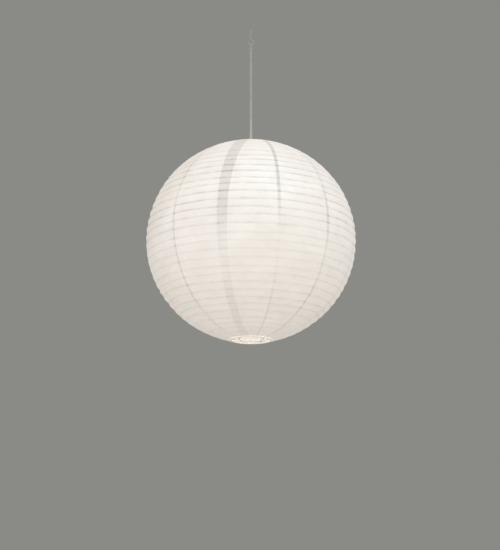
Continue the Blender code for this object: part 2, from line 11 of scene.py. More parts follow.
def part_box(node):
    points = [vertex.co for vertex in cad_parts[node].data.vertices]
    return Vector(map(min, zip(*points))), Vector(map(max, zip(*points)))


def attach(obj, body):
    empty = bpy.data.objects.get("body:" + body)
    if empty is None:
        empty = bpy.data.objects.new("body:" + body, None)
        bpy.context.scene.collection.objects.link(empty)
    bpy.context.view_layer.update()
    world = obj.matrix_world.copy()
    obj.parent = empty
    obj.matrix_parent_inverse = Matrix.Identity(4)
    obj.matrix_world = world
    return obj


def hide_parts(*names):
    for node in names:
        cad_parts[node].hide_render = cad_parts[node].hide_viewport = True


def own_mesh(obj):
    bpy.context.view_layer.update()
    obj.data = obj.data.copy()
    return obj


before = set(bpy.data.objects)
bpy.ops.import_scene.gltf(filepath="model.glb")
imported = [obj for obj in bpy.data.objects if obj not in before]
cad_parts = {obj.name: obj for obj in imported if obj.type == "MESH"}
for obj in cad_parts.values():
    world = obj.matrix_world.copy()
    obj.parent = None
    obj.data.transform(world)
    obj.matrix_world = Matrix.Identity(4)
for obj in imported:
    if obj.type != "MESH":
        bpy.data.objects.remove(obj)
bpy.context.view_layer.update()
SCENE = bpy.context.scene
SCENE.view_settings.view_transform = "Standard"

# ---- sizes, from the frame where it has them -----------------------------------------------------
LOW_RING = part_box("bottom_ring")
TOP_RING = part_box("top_ring")
BOTTOM_RING_Z = (LOW_RING[0][2] + LOW_RING[1][2]) / 2
TOP_RING_Z = (TOP_RING[0][2] + TOP_RING[1][2]) / 2
CENTRE_Z = (BOTTOM_RING_Z + TOP_RING_Z) / 2
RING_WIRE = (TOP_RING[1][2] - TOP_RING[0][2]) / 2
RING_RADIUS = TOP_RING[1][0] - RING_WIRE
MOUTH_CLEAR = 0.0006  # the gores' cut ends to the ring
MOUTH_EDGE = radians(3)  # the paper lies plain and smooth this close to a mouth

GLOBE_RADIUS = 0.225
GLOBE_HALF_HEIGHT = 0.219
CENTRE = Vector((0, 0, CENTRE_Z))

GORES = 12
GORE_ANGLE = 2 * pi / GORES
FIRST_SEAM = radians(-105.5)
LAP = 0.006
WIDE_LAP = 0.024
LAP_SHARE = 0.86  # of a lap's nominal width, at the equator
LAP_NARROWING = 0.20  # laps narrow towards the lower mouth
LAP_LIMIT = 0.6  # of a gore's own width, near the mouths
SEAM_TURN = radians(0.5)  # the whole set of seams has turned this far on its rings
SEAM_TWIST = radians(4.5)  # and is pulled round at the upper mouth
PAPER = 0.00025
LAP_LIFT = 0.00032  # the upper sheet of a lap over the lower one
LAP_STEP = 0.0022  # run over which the upper sheet climbs

RIB_TURNS = 34
RIB_END_LATITUDE = radians(76.5)
RIB_WIRE = 0.0005
RIB_GAP = 0.0003  # wire to paper
RIB_SIDES = 6
RIB_STEPS = 64  # straight lengths in one turn of the rib wire
SHADOW_UNDER = 0.14  # reach of a rib's shadow below it and above it, as shares of the way to the next rib
SHADOW_OVER = 0.34
SCALLOP = 0.0017  # how far the paper pulls in between two ribs
DRIFTS = ((0.060, 1.7, 0.6), (0.042, 0.61, 2.1), (0.030, 2.9, 4.0))  # uneven spacing: size, rate, start
WIGGLE = 0.07  # how far a rib strays up and down along its way, in turns
UNEVEN = 0.0006  # how far the wire itself strays from a true globe
SLACK = 0.85  # of SCALLOP, on average
SLACK_LEAST = 0.15
SLACK_BROAD = (0.8, 8)  # how much the slack varies from place to place: share, waves in a metre
SLACK_FINE = (0.4, 38)
TAUT_AT_LAP = 0.35  # the doubled paper of a lap pulls its surroundings tight
PUCKER = 0.00055  # gathers beside the laps
PUCKER_GRAIN = (160, 75)  # waves in a metre, across and up
PUCKER_REACH = 0.014  # how far from a lap they go
CREASE = 0.00050  # handling creases between the ribs
CREASE_GRAIN = (45, 210)

HEM_LEG = 0.0019  # of the paper strip folded over a mouth ring
HEM_INNER_SHARE = 0.7  # the inner leg's length, of the outer leg's
HEM_CLEAR = 0.0005  # outer leg, under the ring's middle
HEM_INNER_CLEAR = 0.0009  # inner leg to the gores' cut ends
HEM_BEND = RING_WIRE + 0.00024  # the strip round the wire
HEM_TURN = range(-60, -301, -30)  # degrees, round the wire from the outer leg to the inner one
HEM_PUCKERS = 48
HEM_STEPS = HEM_PUCKERS * 8
HEM_PUFF = 0.00005  # how far the puckers lift a leg's edge
HEM_WAVES = 0.00009  # slower waves of the same edge
HEM_RAGGED = 0.0004  # how unevenly the strip was cut
HEM_GATHERS = 0.00008  # depth of the pleats on the side towards the axis
RING_SIDES = 32  # straight lengths in a mouth ring

CORD_DIAMETER = 0.005
CORD_POINTS = 24

# ---- camera --------------------------------------------------------------------------------------
VIEW_DISTANCE = 3.438
VIEW_BELOW = radians(14.2)
VIEW_PITCH = radians(13.0)
VIEW_SIDE = -0.0022
LENS = 104.7
SENSOR = 36
FARTHEST = 50


def make_camera():
    data = bpy.data.cameras.new("camera")
    data.lens = LENS
    data.sensor_width = SENSOR
    data.clip_end = FARTHEST
    camera = bpy.data.objects.new("camera", data)
    SCENE.collection.objects.link(camera)
    back = VIEW_DISTANCE * cos(VIEW_BELOW)
    camera.location = (VIEW_SIDE, -back, CENTRE_Z - VIEW_DISTANCE * sin(VIEW_BELOW))
    camera.rotation_euler = (pi / 2 + VIEW_PITCH, 0, 0)
    SCENE.camera = camera


# ---- materials -----------------------------------------------------------------------------------
class Nodes:
    """Short calls for building one material's node tree."""

    def __init__(self, name):
        self.material = bpy.data.materials.new(name)
        self.material.use_nodes = True
        self.tree = self.material.node_tree
        self.shader = self.tree.nodes["Principled BSDF"]

    def add(self, kind, **settings):
        node = self.tree.nodes.new(kind)
        for key, value in settings.items():
            setattr(node, key, value)
        return node

    def feed(self, socket, value):
        if isinstance(value, (int, float, tuple)):
            socket.default_value = value
        else:
            self.tree.links.new(value, socket)

    def math(self, operation, a, b=0.0):
        node = self.add("ShaderNodeMath", operation=operation)
        for socket, value in zip(node.inputs, (a, b)):
            self.feed(socket, value)
        return node.outputs[0]

    def times(self, first, *others):
        """All the values multiplied."""
        for other in others:
            first = self.math("MULTIPLY", first, other)
        return first

    def clamp_range(self, value, low, high, to_low=0.0, to_high=1.0, smooth=False):
        """to_low where value is low or less, to_high where it is high or more, and in between a ramp."""
        node = self.add("ShaderNodeMapRange")
        if smooth:
            node.interpolation_type = "SMOOTHSTEP"
        for socket, fed in zip(node.inputs, (value, low, high, to_low, to_high)):
            self.feed(socket, fed)
        return node.outputs[0]

    def place(self, scale=(1, 1, 1)):
        """The point's place in the frame, in metres, stretched by scale."""
        mapping = self.add("ShaderNodeMapping")
        mapping.inputs["Scale"].default_value = scale
        coords = self.add("ShaderNodeTexCoord")
        self.tree.links.new(coords.outputs["Object"], mapping.inputs["Vector"])
        return mapping.outputs[0]

    def height_and_side(self):
        """Height over the globe's centre, and x."""
        split = self.add("ShaderNodeSeparateXYZ")
        coords = self.add("ShaderNodeTexCoord")
        self.tree.links.new(coords.outputs["Object"], split.inputs[0])
        return self.math("SUBTRACT", split.outputs[2], CENTRE_Z), split.outputs[0]

    def noise(self, vector, scale, detail=4.0, roughness=0.55, distortion=0.0):
        """Cloudy noise, with about scale clouds in a metre."""
        node = self.add("ShaderNodeTexNoise")
        self.feed(node.inputs["Vector"], vector)
        node.inputs["Scale"].default_value = scale
        node.inputs["Detail"].default_value = detail
        node.inputs["Roughness"].default_value = roughness
        node.inputs["Distortion"].default_value = distortion
        return node.outputs[0]

    def wave(self, vector, scale, distortion, detail):
        node = self.add("ShaderNodeTexWave", bands_direction="Z")
        self.feed(node.inputs["Vector"], vector)
        node.inputs["Scale"].default_value = scale
        node.inputs["Distortion"].default_value = distortion
        node.inputs["Detail"].default_value = detail
        return node.outputs["Fac"]

    def mix(self, share, a, b, blend="MIX"):
        node = self.add("ShaderNodeMix", data_type="RGBA", blend_type=blend)
        self.feed(node.inputs[0], share)
        self.feed(node.inputs[6], a)
        self.feed(node.inputs[7], b)
        return node.outputs[2]

    def bump(self, height, strength, distance, under=None):
        """A relief distance metres deep, on top of the relief under."""
        node = self.add("ShaderNodeBump")
        node.inputs["Strength"].default_value = strength
        node.inputs["Distance"].default_value = distance
        self.feed(node.inputs["Height"], height)
        if under is not None:
            self.tree.links.new(under, node.inputs["Normal"])
        return node.outputs[0]

    def attribute(self, name):
        node = self.add("ShaderNodeAttribute", attribute_name=name)
        return node.outputs["Fac"]

    def set(self, name, value):
        self.feed(self.shader.inputs[name], value)


def rgba(r, g, b):
    return (r, g, b, 1.0)


# Light coming through the paper. Heights are over the globe's centre, and x runs to the right.
GLOW_STRENGTH = 0.63
BULB_GLOW = 5.0
GLOW_HEIGHT = 0.085  # the brightest zone
GLOW_TOP = 0.19
GLOW_FADE = 0.29  # height from the brightest zone at which the tint is wholly TINT_FAR
GLOW_AT_FOOT = 0.71  # as shares of the brightest zone
GLOW_AT_TOP = 1.03
GLOW_AT_LEFT = 0.93
LEFT_RIM_X = -0.15  # where the dimming towards the left starts
LEFT_WARMTH_X = -0.05
LEFT_WARMTH = 0.4  # share of TINT_FAR that the left rim gains
SPOT_X = 0.040  # where the lamp shows brightest through the front
SPOT_SPREAD = 0.110
SPOT_GAIN = 0.05
ROSY_SHARE = 0.8
ROSY_X = (-0.07, -0.02)  # wholly rosy left of the first, not at all right of the second
ROSY_Z = (-0.12, -0.02)  # and wholly above the second
RIM_SHADE_SLOPE = (0.85, 0.53)  # painted shade on the upper left rim, in this direction: share of left, share of up
RIM_SHADE_REACH = (0.148, 0.189)  # how far that way the painted shade starts and is complete
TINT_NEAR = rgba(1.0, 0.968, 0.930)
TINT_FAR = rgba(1.0, 0.908, 0.838)
TINT_SPOT = rgba(1.0, 0.992, 0.972)
TINT_ROSY = rgba(1.0, 0.935, 0.905)
# painted shade tint for the upper left rim
TINT_RIM_SHADE = rgba(0.89, 0.87, 0.82)

# Painted shade: how much darker ribs, seams, lap edges and folds make the paper's glow, as shares of it.
RIB_DARK = 0.27
RIB_IN_LAP_DARK = 0.28  # added where a rib crosses a lap
RIB_UNEVEN = (0.30, 1.5)  # the painted rib shadow is darker where the wire presses harder, more in some places than in others
SEAM_DARK = 0.27
SEAM_DARK_ASIDE = 0.19
EDGE_DARK = 0.06
# painted shade lines, as along folds in the paper
FOLD_SHADE = 0.06
WASHED = 0.30  # how much of that darkness is left under the equator
WASHED_RIB_ASIDE = 0.46  # the same at the globe's sides
WASHED_SEAM_ASIDE = 0.85
WASHED_Z = (-0.055, 0.035)
ASIDE_X = 0.06  # the sides start to differ from the middle here
RIBS_ASIDE_X = 0.17
SEAMS_ASIDE_X = 0.16
FOOT_DARK = 0.30  # darkness that comes back towards the lower mouth
FOOT_Z = (-0.175, -0.095)
RIBS_FADE_ABOVE = (0.132, 0.174)  # ribs grow faint near the upper mouth
RIBS_LEFT_ABOVE = 0.18
RIBS_FADE_BELOW = (-0.195, -0.160)
RIBS_LEFT_BELOW = 0.15

PULP_PALE = rgba(0.80, 0.765, 0.715)
PULP_FAIR = rgba(0.86, 0.83, 0.79)
INNER_PALE = rgba(0.60, 0.59, 0.57)
INNER_FAIR = rgba(0.65, 0.64, 0.62)
FIBRE_COLOUR = rgba(0.93, 0.91, 0.87)
# painted rib shadow, mixed into the paper's own colour
RIB_SHADOW_COLOUR = rgba(0.62, 0.585, 0.54)


def glow_shape(n, height, sideways):
    """The light coming through plain paper: most at the lamp, warmer and weaker away from it."""
    below = n.clamp_range(height, -GLOBE_HALF_HEIGHT, GLOW_HEIGHT, GLOW_AT_FOOT, 1.0)
    above = n.clamp_range(height, GLOW_HEIGHT, GLOW_TOP, 1.0, GLOW_AT_TOP)
    left = n.clamp_range(sideways, -GLOBE_RADIUS, LEFT_RIM_X, GLOW_AT_LEFT, 1.0)
    away = n.math("ABSOLUTE", n.math("SUBTRACT", height, GLOW_HEIGHT))
    from_spot = n.math("ABSOLUTE", n.math("SUBTRACT", sideways, SPOT_X))
    spot = n.times(
        n.clamp_range(from_spot, 0.0, SPOT_SPREAD, 1.0, 0.0, True),
        n.clamp_range(away, 0.0, SPOT_SPREAD, 1.0, 0.0, True),
    )
    left_warmth = n.clamp_range(sideways, -GLOBE_RADIUS, LEFT_WARMTH_X, LEFT_WARMTH, 0.0)
    tint = n.mix(n.math("ADD", n.clamp_range(away, 0.0, GLOW_FADE), left_warmth), TINT_NEAR, TINT_FAR)
    tint = n.mix(spot, tint, TINT_SPOT)
    rosy = n.times(
        n.clamp_range(sideways, *ROSY_X, ROSY_SHARE, 0.0, True),
        n.clamp_range(height, *ROSY_Z, 0.0, 1.0, True),
    )
    tint = n.mix(rosy, tint, TINT_ROSY)
    # Painted shade darkens the tint towards the upper left rim.
    leftwards, upwards = RIM_SHADE_SLOPE
    towards_rim_shade = n.math("SUBTRACT", n.times(height, upwards), n.times(sideways, leftwards))
    tint = n.mix(n.clamp_range(towards_rim_shade, *RIM_SHADE_REACH), tint, TINT_RIM_SHADE, "MULTIPLY")
    level = n.times(below, above, left, n.math("ADD", 1.0, n.times(spot, SPOT_GAIN)))
    return level, tint


def shadow_depth(n, height, aside, far_aside, washed_aside):
    """How dark ribs and laps look: crisp near the lamp, washed out under the equator but less so at the
    sides, and back at the lower mouth."""
    washed = n.clamp_range(aside, ASIDE_X, far_aside, WASHED, washed_aside, True)
    upper = n.clamp_range(height, *WASHED_Z, washed, 1.0, True)
    lower = n.clamp_range(height, *FOOT_Z, FOOT_DARK, 0.0, True)
    return n.math("ADD", upper, lower)


def glow_level(n, level, height, sideways, fold_shade, press):
    """The glow after the painted shade of ribs, seams and folds has taken its share of it."""
    rib = n.attribute("rib")
    lap = n.attribute("lap")
    aside = n.math("ABSOLUTE", sideways)
    rib_depth = shadow_depth(n, height, aside, RIBS_ASIDE_X, WASHED_RIB_ASIDE)
    seam_depth = shadow_depth(n, height, aside, SEAMS_ASIDE_X, WASHED_SEAM_ASIDE)
    in_upper_cap = n.clamp_range(height, *RIBS_FADE_ABOVE, 1.0, RIBS_LEFT_ABOVE, True)
    in_lower_cap = n.clamp_range(height, *RIBS_FADE_BELOW, RIBS_LEFT_BELOW, 1.0, True)
    uneven = n.times(n.clamp_range(press, 0.36, 0.64, *RIB_UNEVEN), in_upper_cap, in_lower_cap)
    rib_share = n.math("ADD", RIB_DARK, n.times(lap, RIB_IN_LAP_DARK))
    seam_share = n.clamp_range(aside, ASIDE_X, SEAMS_ASIDE_X, SEAM_DARK, SEAM_DARK_ASIDE)
    # The sheet under a lap gets no glow of its own: painted shade under the sheet that lies over it.
    level = n.times(level, n.math("SUBTRACT", 1.0, n.attribute("covered")))
    for dark, depth in (
        (n.times(rib, uneven, rib_share), rib_depth),
        (n.times(lap, seam_share), seam_depth),
        (n.times(n.attribute("lap_edge"), EDGE_DARK), seam_depth),
        (n.times(fold_shade, FOLD_SHADE), rib_depth),
    ):
        level = n.times(level, n.math("SUBTRACT", 1.0, n.times(dark, depth)))
    return level, rib


def paper_material(name, shade=1.0, pale=PULP_PALE, fair=PULP_FAIR):
    """Lit rice paper: fibres, clouds in the pulp, rib and lap shadows, and the lamp's glow from inside.
    shade is the share of that glow which shows. The inner face takes more of its light from the lamp."""
    n = Nodes(name)
    where = n.place()
    pulp = n.noise(where, 26, 5, 0.6)
    fibre = n.noise(n.place((90, 90, 420)), 1.0, 6, 0.65, 0.6)
    fine = n.noise(where, 900, 3, 0.7)
    strands = n.noise(n.place((34, 34, 150)), 1.6, 4, 0.6, 1.5)
    long_fibre = n.clamp_range(strands, 0.47, 0.53, 0, 1, True)
    streak = n.noise(n.place((16, 16, 210)), 1.0, 3, 0.6, 0.4)
    # Painted shade: thin lines, as along folds, that take some of the glow.
    fold_shade = n.clamp_range(n.noise(n.place((13, 13, 330)), 1.0, 2, 0.5, 0.3), 0.60, 0.67, 0, 1, True)
    # Noise that varies the painted rib shadow's darkness from place to place.
    press = n.noise(n.place((42, 42, 26)), 1.0, 3, 0.6)

    height, sideways = n.height_and_side()
    level, tint = glow_shape(n, height, sideways)
    level, rib = glow_level(n, level, height, sideways, fold_shade, press)
    level = n.times(
        level,
        n.clamp_range(pulp, 0.3, 0.7, 0.965, 1.02),
        n.clamp_range(fibre, 0.3, 0.7, 0.975, 1.015),
        n.clamp_range(streak, 0.3, 0.7, 0.975, 1.02),
    )
    grey = n.add("ShaderNodeCombineColor")
    for socket in grey.inputs:
        n.feed(socket, level)
    n.set("Emission Color", n.mix(1.0, tint, grey.outputs[0], "MULTIPLY"))
    n.set("Emission Strength", GLOW_STRENGTH * shade)

    colour = n.mix(n.clamp_range(pulp, 0.35, 0.65), pale, fair)
    colour = n.mix(n.times(long_fibre, 0.22), colour, FIBRE_COLOUR)
    # Painted rib shadow in the base colour too, along the rib's shadow mask.
    colour = n.mix(n.times(rib, 0.25), colour, RIB_SHADOW_COLOUR)
    n.set("Base Color", colour)
    n.set("Roughness", n.clamp_range(fibre, 0.3, 0.7, 0.78, 0.95))
    n.set("Specular IOR Level", 0.25)
    n.set("Sheen Weight", 0.12)
    n.set("Sheen Roughness", 0.6)
    weave = n.bump(fibre, 0.5, 0.00035)
    weave = n.bump(fine, 0.25, 0.00012, weave)
    weave = n.bump(streak, 0.5, 0.0009, weave)
    n.set("Normal", n.bump(n.noise(where, 60, 4, 0.6, 0.8), 0.35, 0.0012, weave))
    return n.material


def wire_material(name, colour, scratch, metallic=0.9):
    """Drawn steel wire: fine draw marks along it, dull zinc patches and a little tarnish."""
    n = Nodes(name)
    where = n.place()
    patches = n.noise(where, 160, 5, 0.6)
    marks = n.noise(n.place((900, 900, 60)), 1.0, 3, 0.6)
    dark = tuple(c * 0.62 for c in colour)
    n.set("Base Color", n.mix(n.clamp_range(patches, 0.35, 0.7), rgba(*colour), rgba(*dark)))
    n.set("Metallic", metallic)
    n.set("Roughness", n.clamp_range(patches, 0.3, 0.7, 0.28, 0.52))
    n.set("Normal", n.bump(marks, scratch, 0.00008))
    return n.material


def plastic_material(name, colour, roughness, grain=0.25):
    """Moulded plastic: fine spark-eroded grain, faint yellowing and handling marks."""
    n = Nodes(name)
    where = n.place()
    clouds = n.noise(where, 45, 4, 0.55)
    dust = n.noise(where, 380, 4, 0.7)
    scuffs = n.clamp_range(n.noise(n.place((70, 70, 240)), 1.0, 5, 0.7, 1.2), 0.62, 0.72)
    aged = (colour[0] * 0.97, colour[1] * 0.93, colour[2] * 0.85)
    base = n.mix(n.clamp_range(clouds, 0.35, 0.7), rgba(*colour), rgba(*aged))
    base = n.mix(n.times(scuffs, 0.2), base, rgba(*(c * 0.75 for c in colour)))
    n.set("Base Color", base)
    n.set("Roughness", n.clamp_range(dust, 0.3, 0.7, roughness - 0.07, roughness + 0.1))
    n.set("Normal", n.bump(dust, grain, 0.00012))
    return n.material


def metal_material(name, colour, roughness):
    """Plated or pressed metal with turning marks and finger stains."""
    n = Nodes(name)
    where = n.place()
    stains = n.noise(where, 120, 5, 0.65)
    turning = n.wave(n.place(), 900, 1.5, 2)
    dark = tuple(c * 0.7 for c in colour)
    n.set("Base Color", n.mix(n.clamp_range(stains, 0.45, 0.75), rgba(*colour), rgba(*dark)))
    n.set("Metallic", 1.0)
    n.set("Roughness", n.clamp_range(stains, 0.3, 0.7, roughness - 0.08, roughness + 0.15))
    n.set("Normal", n.bump(turning, 0.12, 0.00005))
    return n.material


def opal_material():
    """The lit diffuser: satin opal plastic with a faintly clouded glow."""
    n = Nodes("bulb_opal_lit")
    where = n.place()
    cloud = n.noise(where, 90, 4, 0.5)
    n.set("Base Color", n.mix(cloud, rgba(0.93, 0.92, 0.89), rgba(0.88, 0.87, 0.84)))
    n.set("Roughness", n.clamp_range(cloud, 0.3, 0.7, 0.3, 0.42))
    n.set("Emission Color", n.mix(cloud, rgba(1.0, 0.95, 0.89), rgba(1.0, 0.93, 0.86)))
    n.set("Emission Strength", BULB_GLOW)
    n.set("Normal", n.bump(n.noise(where, 700, 3, 0.6), 0.1, 0.00005))
    return n.material


def flex_material():
    """White PVC flex, with extrusion lines and grime."""
    n = Nodes("flex_pvc")
    where = n.place()
    grime = n.noise(n.place((120, 120, 30)), 1.0, 5, 0.6)
    lines = n.noise(n.place((2200, 2200, 12)), 1.0, 2, 0.5)
    base = n.mix(n.clamp_range(grime, 0.4, 0.75), rgba(0.92, 0.91, 0.88), rgba(0.78, 0.76, 0.71))
    n.set("Base Color", base)
    n.set("Roughness", n.clamp_range(grime, 0.3, 0.7, 0.34, 0.52))
    n.set("Normal", n.bump(lines, 0.2, 0.00008, n.bump(n.noise(where, 50, 3), 0.2, 0.0004)))
    return n.material


# ---- helpers -------------------------------------------------------------------------------------
def link(name, mesh, material, body):
    piece = bpy.data.objects.new(name, mesh)
    SCENE.collection.objects.link(piece)
    mesh.materials.append(material)
    mesh.shade_smooth()
    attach(piece, body)
    return piece


def thicken(piece, inside):
    """Gives a sheet its paper's thickness, with another material on its inner face and cut edges."""
    piece.data.materials.append(inside)
    solid = piece.modifiers.new("thickness", "SOLIDIFY")
    solid.thickness = PAPER
    solid.offset = 0
    solid.material_offset = 1
    solid.material_offset_rim = 1
    normals = piece.modifiers.new("normals", "WEIGHTED_NORMAL")
    normals.weight = 90


def give(node, material):
    """A detailed material for a CAD node, which keeps its shape."""
    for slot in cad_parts[node].material_slots:
        slot.material = material


# ---- shape of the lantern. Latitudes and azimuths are in radians, lengths in metres --------------
def drift(turned_by):
    """Uneven spacing of the turns, in turns: hand-wound ribs never sit quite evenly."""
    return sum(size * sin(turned_by * rate + start) for size, rate, start in DRIFTS)


def turns_round(azimuth):
    return (azimuth + pi / 2) / (2 * pi)


def latitude_at(turned_by, azimuth):
    """Latitude after so many turns of the helix, counted down from its upper end."""
    wiggle = WIGGLE * noise.noise(Vector((7 * cos(azimuth), 7 * sin(azimuth), 0.9 * turned_by)))
    return RIB_END_LATITUDE * (1 - 2 * (turned_by + drift(turned_by) + wiggle) / RIB_TURNS)


def on_globe(latitude, azimuth, inward=0.0):
    radius = (GLOBE_RADIUS - inward) * cos(latitude)
    height = (GLOBE_HALF_HEIGHT - inward) * sin(latitude)
    return Vector((radius * cos(azimuth), radius * sin(azimuth), CENTRE_Z + height))


def mouth_share(latitude):
    """0 at a mouth's edge, rising to 1."""
    return min(1.0, max(0.0, (MOUTH_LATITUDE - abs(latitude)) / MOUTH_EDGE))


def stray(latitude, azimuth):
    """How far inside the true globe the wire lies there."""
    place = on_globe(latitude, azimuth)
    return UNEVEN * (0.5 + noise.noise(place * 9)) * mouth_share(latitude)


def lap_angle(width, latitude):
    tapered = width * (LAP_SHARE + LAP_NARROWING * sin(latitude))
    return min(tapered / (GLOBE_RADIUS * cos(latitude)), LAP_LIMIT * GORE_ANGLE)


def seam_azimuth(index, latitude):
    """Where a gore's left seam lies. The seams are pulled round a little towards the upper mouth."""
    twist = SEAM_TURN + SEAM_TWIST * max(0.0, sin(latitude)) ** 2
    return FIRST_SEAM + index * GORE_ANGLE + twist


MOUTH_RADIUS = RING_RADIUS + RING_WIRE + MOUTH_CLEAR
MOUTH_LATITUDE = asin(sqrt(1 - (MOUTH_RADIUS / GLOBE_RADIUS) ** 2))
STEPS_IN_TURN = (0.0, 0.04, 0.09, 0.16, 0.26, 0.38, 0.5, 0.62, 0.74, 0.84, 0.91, 0.96)
SPARE_TURNS = 2  # made past each mouth. They fall together on its edge, and are welded there
COLUMNS = 24  # across a gore's single layer
PLACING_ROUNDS = 4
WELD = 0.00002
SLIVER = 0.00001
LAP_PART = 0.0034  # between two columns in a lap
LAP_EDGE_SHARE = 0.03  # a narrow column at each edge of a lap, for its shadow
LAP_SHADE = (0.2, 0.85, 1.2)  # painted shade of a narrow lap, where less light comes through its doubled paper and glue: least, usual, most
GLUE_SPREAD = 1.1  # how much it varies
WIDE_GLUE_SPREAD = 0.15
WIDE_GLUE_FADE = 0.35  # how much paler the wide lap is at the mouths


def lap_shares(width):
    """Columns across a lap, as shares of its width. Both its sheets use them, so that they lie together."""
    parts = max(2, round(width / LAP_PART))
    inner = [LAP_EDGE_SHARE + (1 - 2 * LAP_EDGE_SHARE) * k / parts for k in range(parts + 1)]
    return [0.0, *inner, 1.0]


def rib_shadow(between):
    """The dark line of a rib through the paper: sharp under the wire, fading upwards from the next one."""
    under = max(0.0, 1 - between / SHADOW_UNDER) ** 1.5
    over = max(0.0, 1 - (1 - between) / SHADOW_OVER) ** 2.2
    return max(under, over)


def rippled(place, across, up, salt):
    """Noise with features 1 / across wide and 1 / up high. It is the same for the two sheets of a lap."""
    return noise.noise(Vector((place.x * across + salt, place.y * across, place.z * up)))


def pull_in(between, latitude, azimuth, from_lap):
    """How far the paper lies inside the wire: its sag between two ribs, its gathers and creases."""
    sag = 4 * between * (1 - between)
    place = on_globe(latitude, azimuth)
    near_lap = max(0.0, 1 - from_lap / PUCKER_REACH)
    slack = SLACK
    for (share, grain), salt in ((SLACK_BROAD, 7.3), (SLACK_FINE, 3.1)):
        slack += share * rippled(place, grain, grain, salt)
    deep = SCALLOP * sag * max(SLACK_LEAST, slack) * (1 - TAUT_AT_LAP * near_lap)
    deep += CREASE * rippled(place, *CREASE_GRAIN, 11.7) * min(1.0, 3 * sag)
    deep += PUCKER * rippled(place, *PUCKER_GRAIN, 23.9) * near_lap * min(1.0, 2 * sag)
    return max(deep, 0.0)


def under_lap(index):
    """Nominal width of the lap at a gore's left edge, where it lies under its neighbour."""
    return WIDE_LAP if index == 0 else LAP


def over_lap(index):
    """The same at its right edge, where it lies over its neighbour."""
    return WIDE_LAP if index == GORES - 1 else LAP


def within_mouths(latitude):
    return max(-MOUTH_LATITUDE, min(MOUTH_LATITUDE, latitude))


def gore_columns(index):
    """The columns of a gore, left to right: (kind, share). Its left lap lies under, its right lap over."""
    under = [("under", share) for share in lap_shares(under_lap(index))]
    single = [("single", k / COLUMNS) for k in range(1, COLUMNS + 1)]
    over = [("over", share) for share in lap_shares(over_lap(index))]
    return under + single + over


def gore_place(phase, kind, share, index):
    """Latitude and azimuth of one point of a gore. The lap's width and the helix depend on each other."""
    middle = FIRST_SEAM + (index + 0.5) * GORE_ANGLE
    latitude = latitude_at(phase + turns_round(middle), middle)
    for _ in range(PLACING_ROUNDS):
        latitude = within_mouths(latitude)
        left = seam_azimuth(index, latitude)
        right = left + GORE_ANGLE
        under = lap_angle(under_lap(index), latitude)
        over = lap_angle(over_lap(index), latitude)
        step = LAP_STEP / GLOBE_RADIUS
        single_start = left + under / 2
        single_end = right - over / 2 - step
        if kind == "under":
            azimuth = left + under * (share - 0.5)
        elif kind == "single":
            azimuth = single_start + (single_end - single_start) * share
        else:
            azimuth = right + over * (share - 0.5)
        latitude = latitude_at(phase + turns_round(azimuth), azimuth)
    from_left = abs(azimuth - left) - under / 2
    from_right = abs(right - azimuth) - over / 2
    from_lap = max(0.0, min(from_left, from_right)) * GLOBE_RADIUS * cos(latitude)
    return within_mouths(latitude), azimuth, from_lap


def lap_depth(index, latitude):
    """How dark a lap looks, as painted shade where less light comes through the doubled paper: the glue is
    never spread twice the same way, nor evenly along a seam.
    """
    along = noise.noise(Vector((1.7 * latitude, 4.1 * index, 32.55)))
    if index == GORES - 1:
        return (1.0 + WIDE_GLUE_SPREAD * along) * (1 - WIDE_GLUE_FADE * sin(latitude) ** 2)
    least, usual, most = LAP_SHADE
    return min(most, max(least, usual + GLUE_SPREAD * along))


def gore_mesh(index):
    """One paper gore as a sheet. Rows follow the helix, so that the paper can pull in between the ribs."""
    left = FIRST_SEAM + index * GORE_ANGLE
    first = -SPARE_TURNS - floor(turns_round(left + GORE_ANGLE))
    last = RIB_TURNS + 1 + SPARE_TURNS - floor(turns_round(left))
    columns = gore_columns(index)
    form = bmesh.new()
    layers = {name: form.verts.layers.float.new(name) for name in ("rib", "lap", "lap_edge", "covered")}
    rows = []
    for turn in range(first, last):
        for between in STEPS_IN_TURN:
            row = []
            for kind, share in columns:
                latitude, azimuth, from_lap = gore_place(turn + between, kind, share, index)
                over = kind == "over"
                inward = pull_in(between, latitude, azimuth, from_lap) * mouth_share(latitude)
                inward += stray(latitude, azimuth) - LAP_LIFT * over
                vert = form.verts.new(on_globe(latitude, azimuth, inward))
                vert[layers["rib"]] = rib_shadow(between) * mouth_share(latitude)
                vert[layers["lap"]] = lap_depth(index, latitude) if over else 0.0
                vert[layers["lap_edge"]] = 1.0 if over and share in (0.0, 1.0) else 0.0
                vert[layers["covered"]] = 1.0 if kind == "under" and share < 1 - LAP_EDGE_SHARE / 2 else 0.0
                row.append(vert)
            rows.append(row)
    for here, after in zip(rows, rows[1:]):
        for k in range(len(here) - 1):
            form.faces.new((here[k], after[k], after[k + 1], here[k + 1]))
    bmesh.ops.remove_doubles(form, verts=form.verts, dist=WELD)
    bmesh.ops.dissolve_degenerate(form, edges=form.edges, dist=SLIVER)
    mesh = bpy.data.meshes.new(f"gore_{index + 1:02d}_paper")
    form.to_mesh(mesh)
    form.free()
    return mesh


def fold_with_ring(piece):
    """Gives the piece a mesh of its own."""
    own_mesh(piece)


def make_paper(outside, inside):
    for index in range(GORES):
        node = f"gore_{index + 1:02d}"
        mesh = gore_mesh(index)
        piece = link(f"{node}_paper", mesh, outside, "shade")
        thicken(piece, inside)
        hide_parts(node)
        fold_with_ring(piece)


